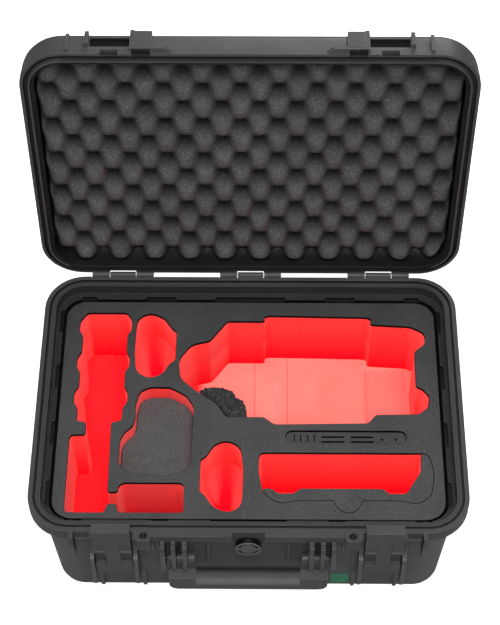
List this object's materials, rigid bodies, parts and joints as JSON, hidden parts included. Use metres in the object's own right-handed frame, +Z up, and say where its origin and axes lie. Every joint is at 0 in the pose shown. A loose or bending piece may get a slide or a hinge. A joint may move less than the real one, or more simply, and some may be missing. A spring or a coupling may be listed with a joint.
{
  "type": "drone carrying case",
  "caption": "Hard waterproof carrying case with hinged lid, draw latches, fold-down handle, pressure valve and a fitted foam interior for a small camera drone.",
  "frame": {"origin": "centre of the footprint on the floor, under the feet", "axes": "+X to the right seen from the front, +Y to the back where the hinges are, +Z up; the rest pose is the open lid"},
  "size_m": [0.4696, 0.4188, 0.4771],
  "materials": {
    "shell_plastic": "moulded charcoal plastic, fine grain",
    "latch_plastic": "moulded charcoal plastic, smoother than the shell",
    "rubber": "matt black rubber",
    "grip_rubber": "matt black soft grip",
    "steel": "plain drawn steel",
    "foam_black": "closed-cell foam sheet, fine speckle",
    "foam_red": "closed-cell red foam, smooth cut",
    "foam_floor": "closed-cell light red foam",
    "foam_egg": "open-cell convoluted foam",
    "membrane": "white vent membrane",
    "label": "plain green badge"
  },
  "bodies": {
    "base": {"base_shell": "shell_plastic", "hinge_pin_left": "steel", "hinge_pin_center": "steel", "hinge_pin_right": "steel", "latch_base_pin_left": "steel", "latch_base_pin_right": "steel", "handle_pin_left": "steel", "handle_pin_right": "steel", "purge_valve_body": "latch_plastic", "purge_valve_seal": "rubber", "purge_valve_nut": "latch_plastic", "purge_valve_membrane": "membrane", "foam_top_sheet": "foam_black", "foam_upper_block": "foam_red", "foam_lower_block": "foam_red", "foam_floor_pad": "foam_floor", "card_holder_foam": "foam_black", "gimbal_rest_foam": "foam_black", "front_label": "label"},
    "lid": {"lid_shell": "shell_plastic", "lid_gasket": "rubber", "lid_foam": "foam_egg"},
    "latch_link_left": {"latch_link_left": "latch_plastic", "latch_lever_pin_left": "steel"},
    "latch_lever_left": {"latch_lever_left": "latch_plastic"},
    "latch_link_right": {"latch_link_right": "latch_plastic", "latch_lever_pin_right": "steel"},
    "latch_lever_right": {"latch_lever_right": "latch_plastic"},
    "handle": {"handle_frame": "latch_plastic", "handle_grip": "grip_rubber"},
    "valve_knob": {"purge_valve_knob": "latch_plastic"},
    "accessory_cover": {"accessory_cover_foam": "foam_black"},
    "controller_filler": {"controller_filler_top": "foam_black", "controller_filler_core": "foam_red"}
  },
  "joints": [
    {"name": "lid_hinge", "type": "hinge", "parent": "base", "child": "lid", "pos_m": [0, 0.1671, 0.137], "axis": [-1, 0, 0], "range_deg": [-94.7, 8]},
    {"name": "latch_link_left_swing", "type": "hinge", "parent": "base", "child": "latch_link_left", "pos_m": [-0.141, -0.168, 0.071], "axis": [1, 0, 0], "range_deg": [0, 40]},
    {"name": "latch_lever_left_tilt", "type": "hinge", "parent": "latch_link_left", "child": "latch_lever_left", "pos_m": [-0.141, -0.1705, 0.128], "axis": [1, 0, 0], "range_deg": [-10, 45]},
    {"name": "latch_link_right_swing", "type": "hinge", "parent": "base", "child": "latch_link_right", "pos_m": [0.141, -0.168, 0.071], "axis": [1, 0, 0], "range_deg": [0, 40]},
    {"name": "latch_lever_right_tilt", "type": "hinge", "parent": "latch_link_right", "child": "latch_lever_right", "pos_m": [0.141, -0.1705, 0.128], "axis": [1, 0, 0], "range_deg": [-10, 45]},
    {"name": "handle_swing", "type": "hinge", "parent": "base", "child": "handle", "pos_m": [0, -0.169, 0.089], "axis": [-1, 0, 0], "range_deg": [0, 95]},
    {"name": "valve_turn", "type": "hinge", "parent": "base", "child": "valve_knob", "pos_m": [0, -0.165, 0.111], "axis": [0, -1, 0], "range_deg": [0, 120]},
    {"name": "accessory_cover_lift", "type": "slide", "parent": "base", "child": "accessory_cover", "axis": [0, 0, 1], "range_m": [0, 0.06]},
    {"name": "controller_filler_lift", "type": "slide", "parent": "base", "child": "controller_filler", "axis": [0, 0, 1], "range_m": [0, 0.095]}
  ]
}
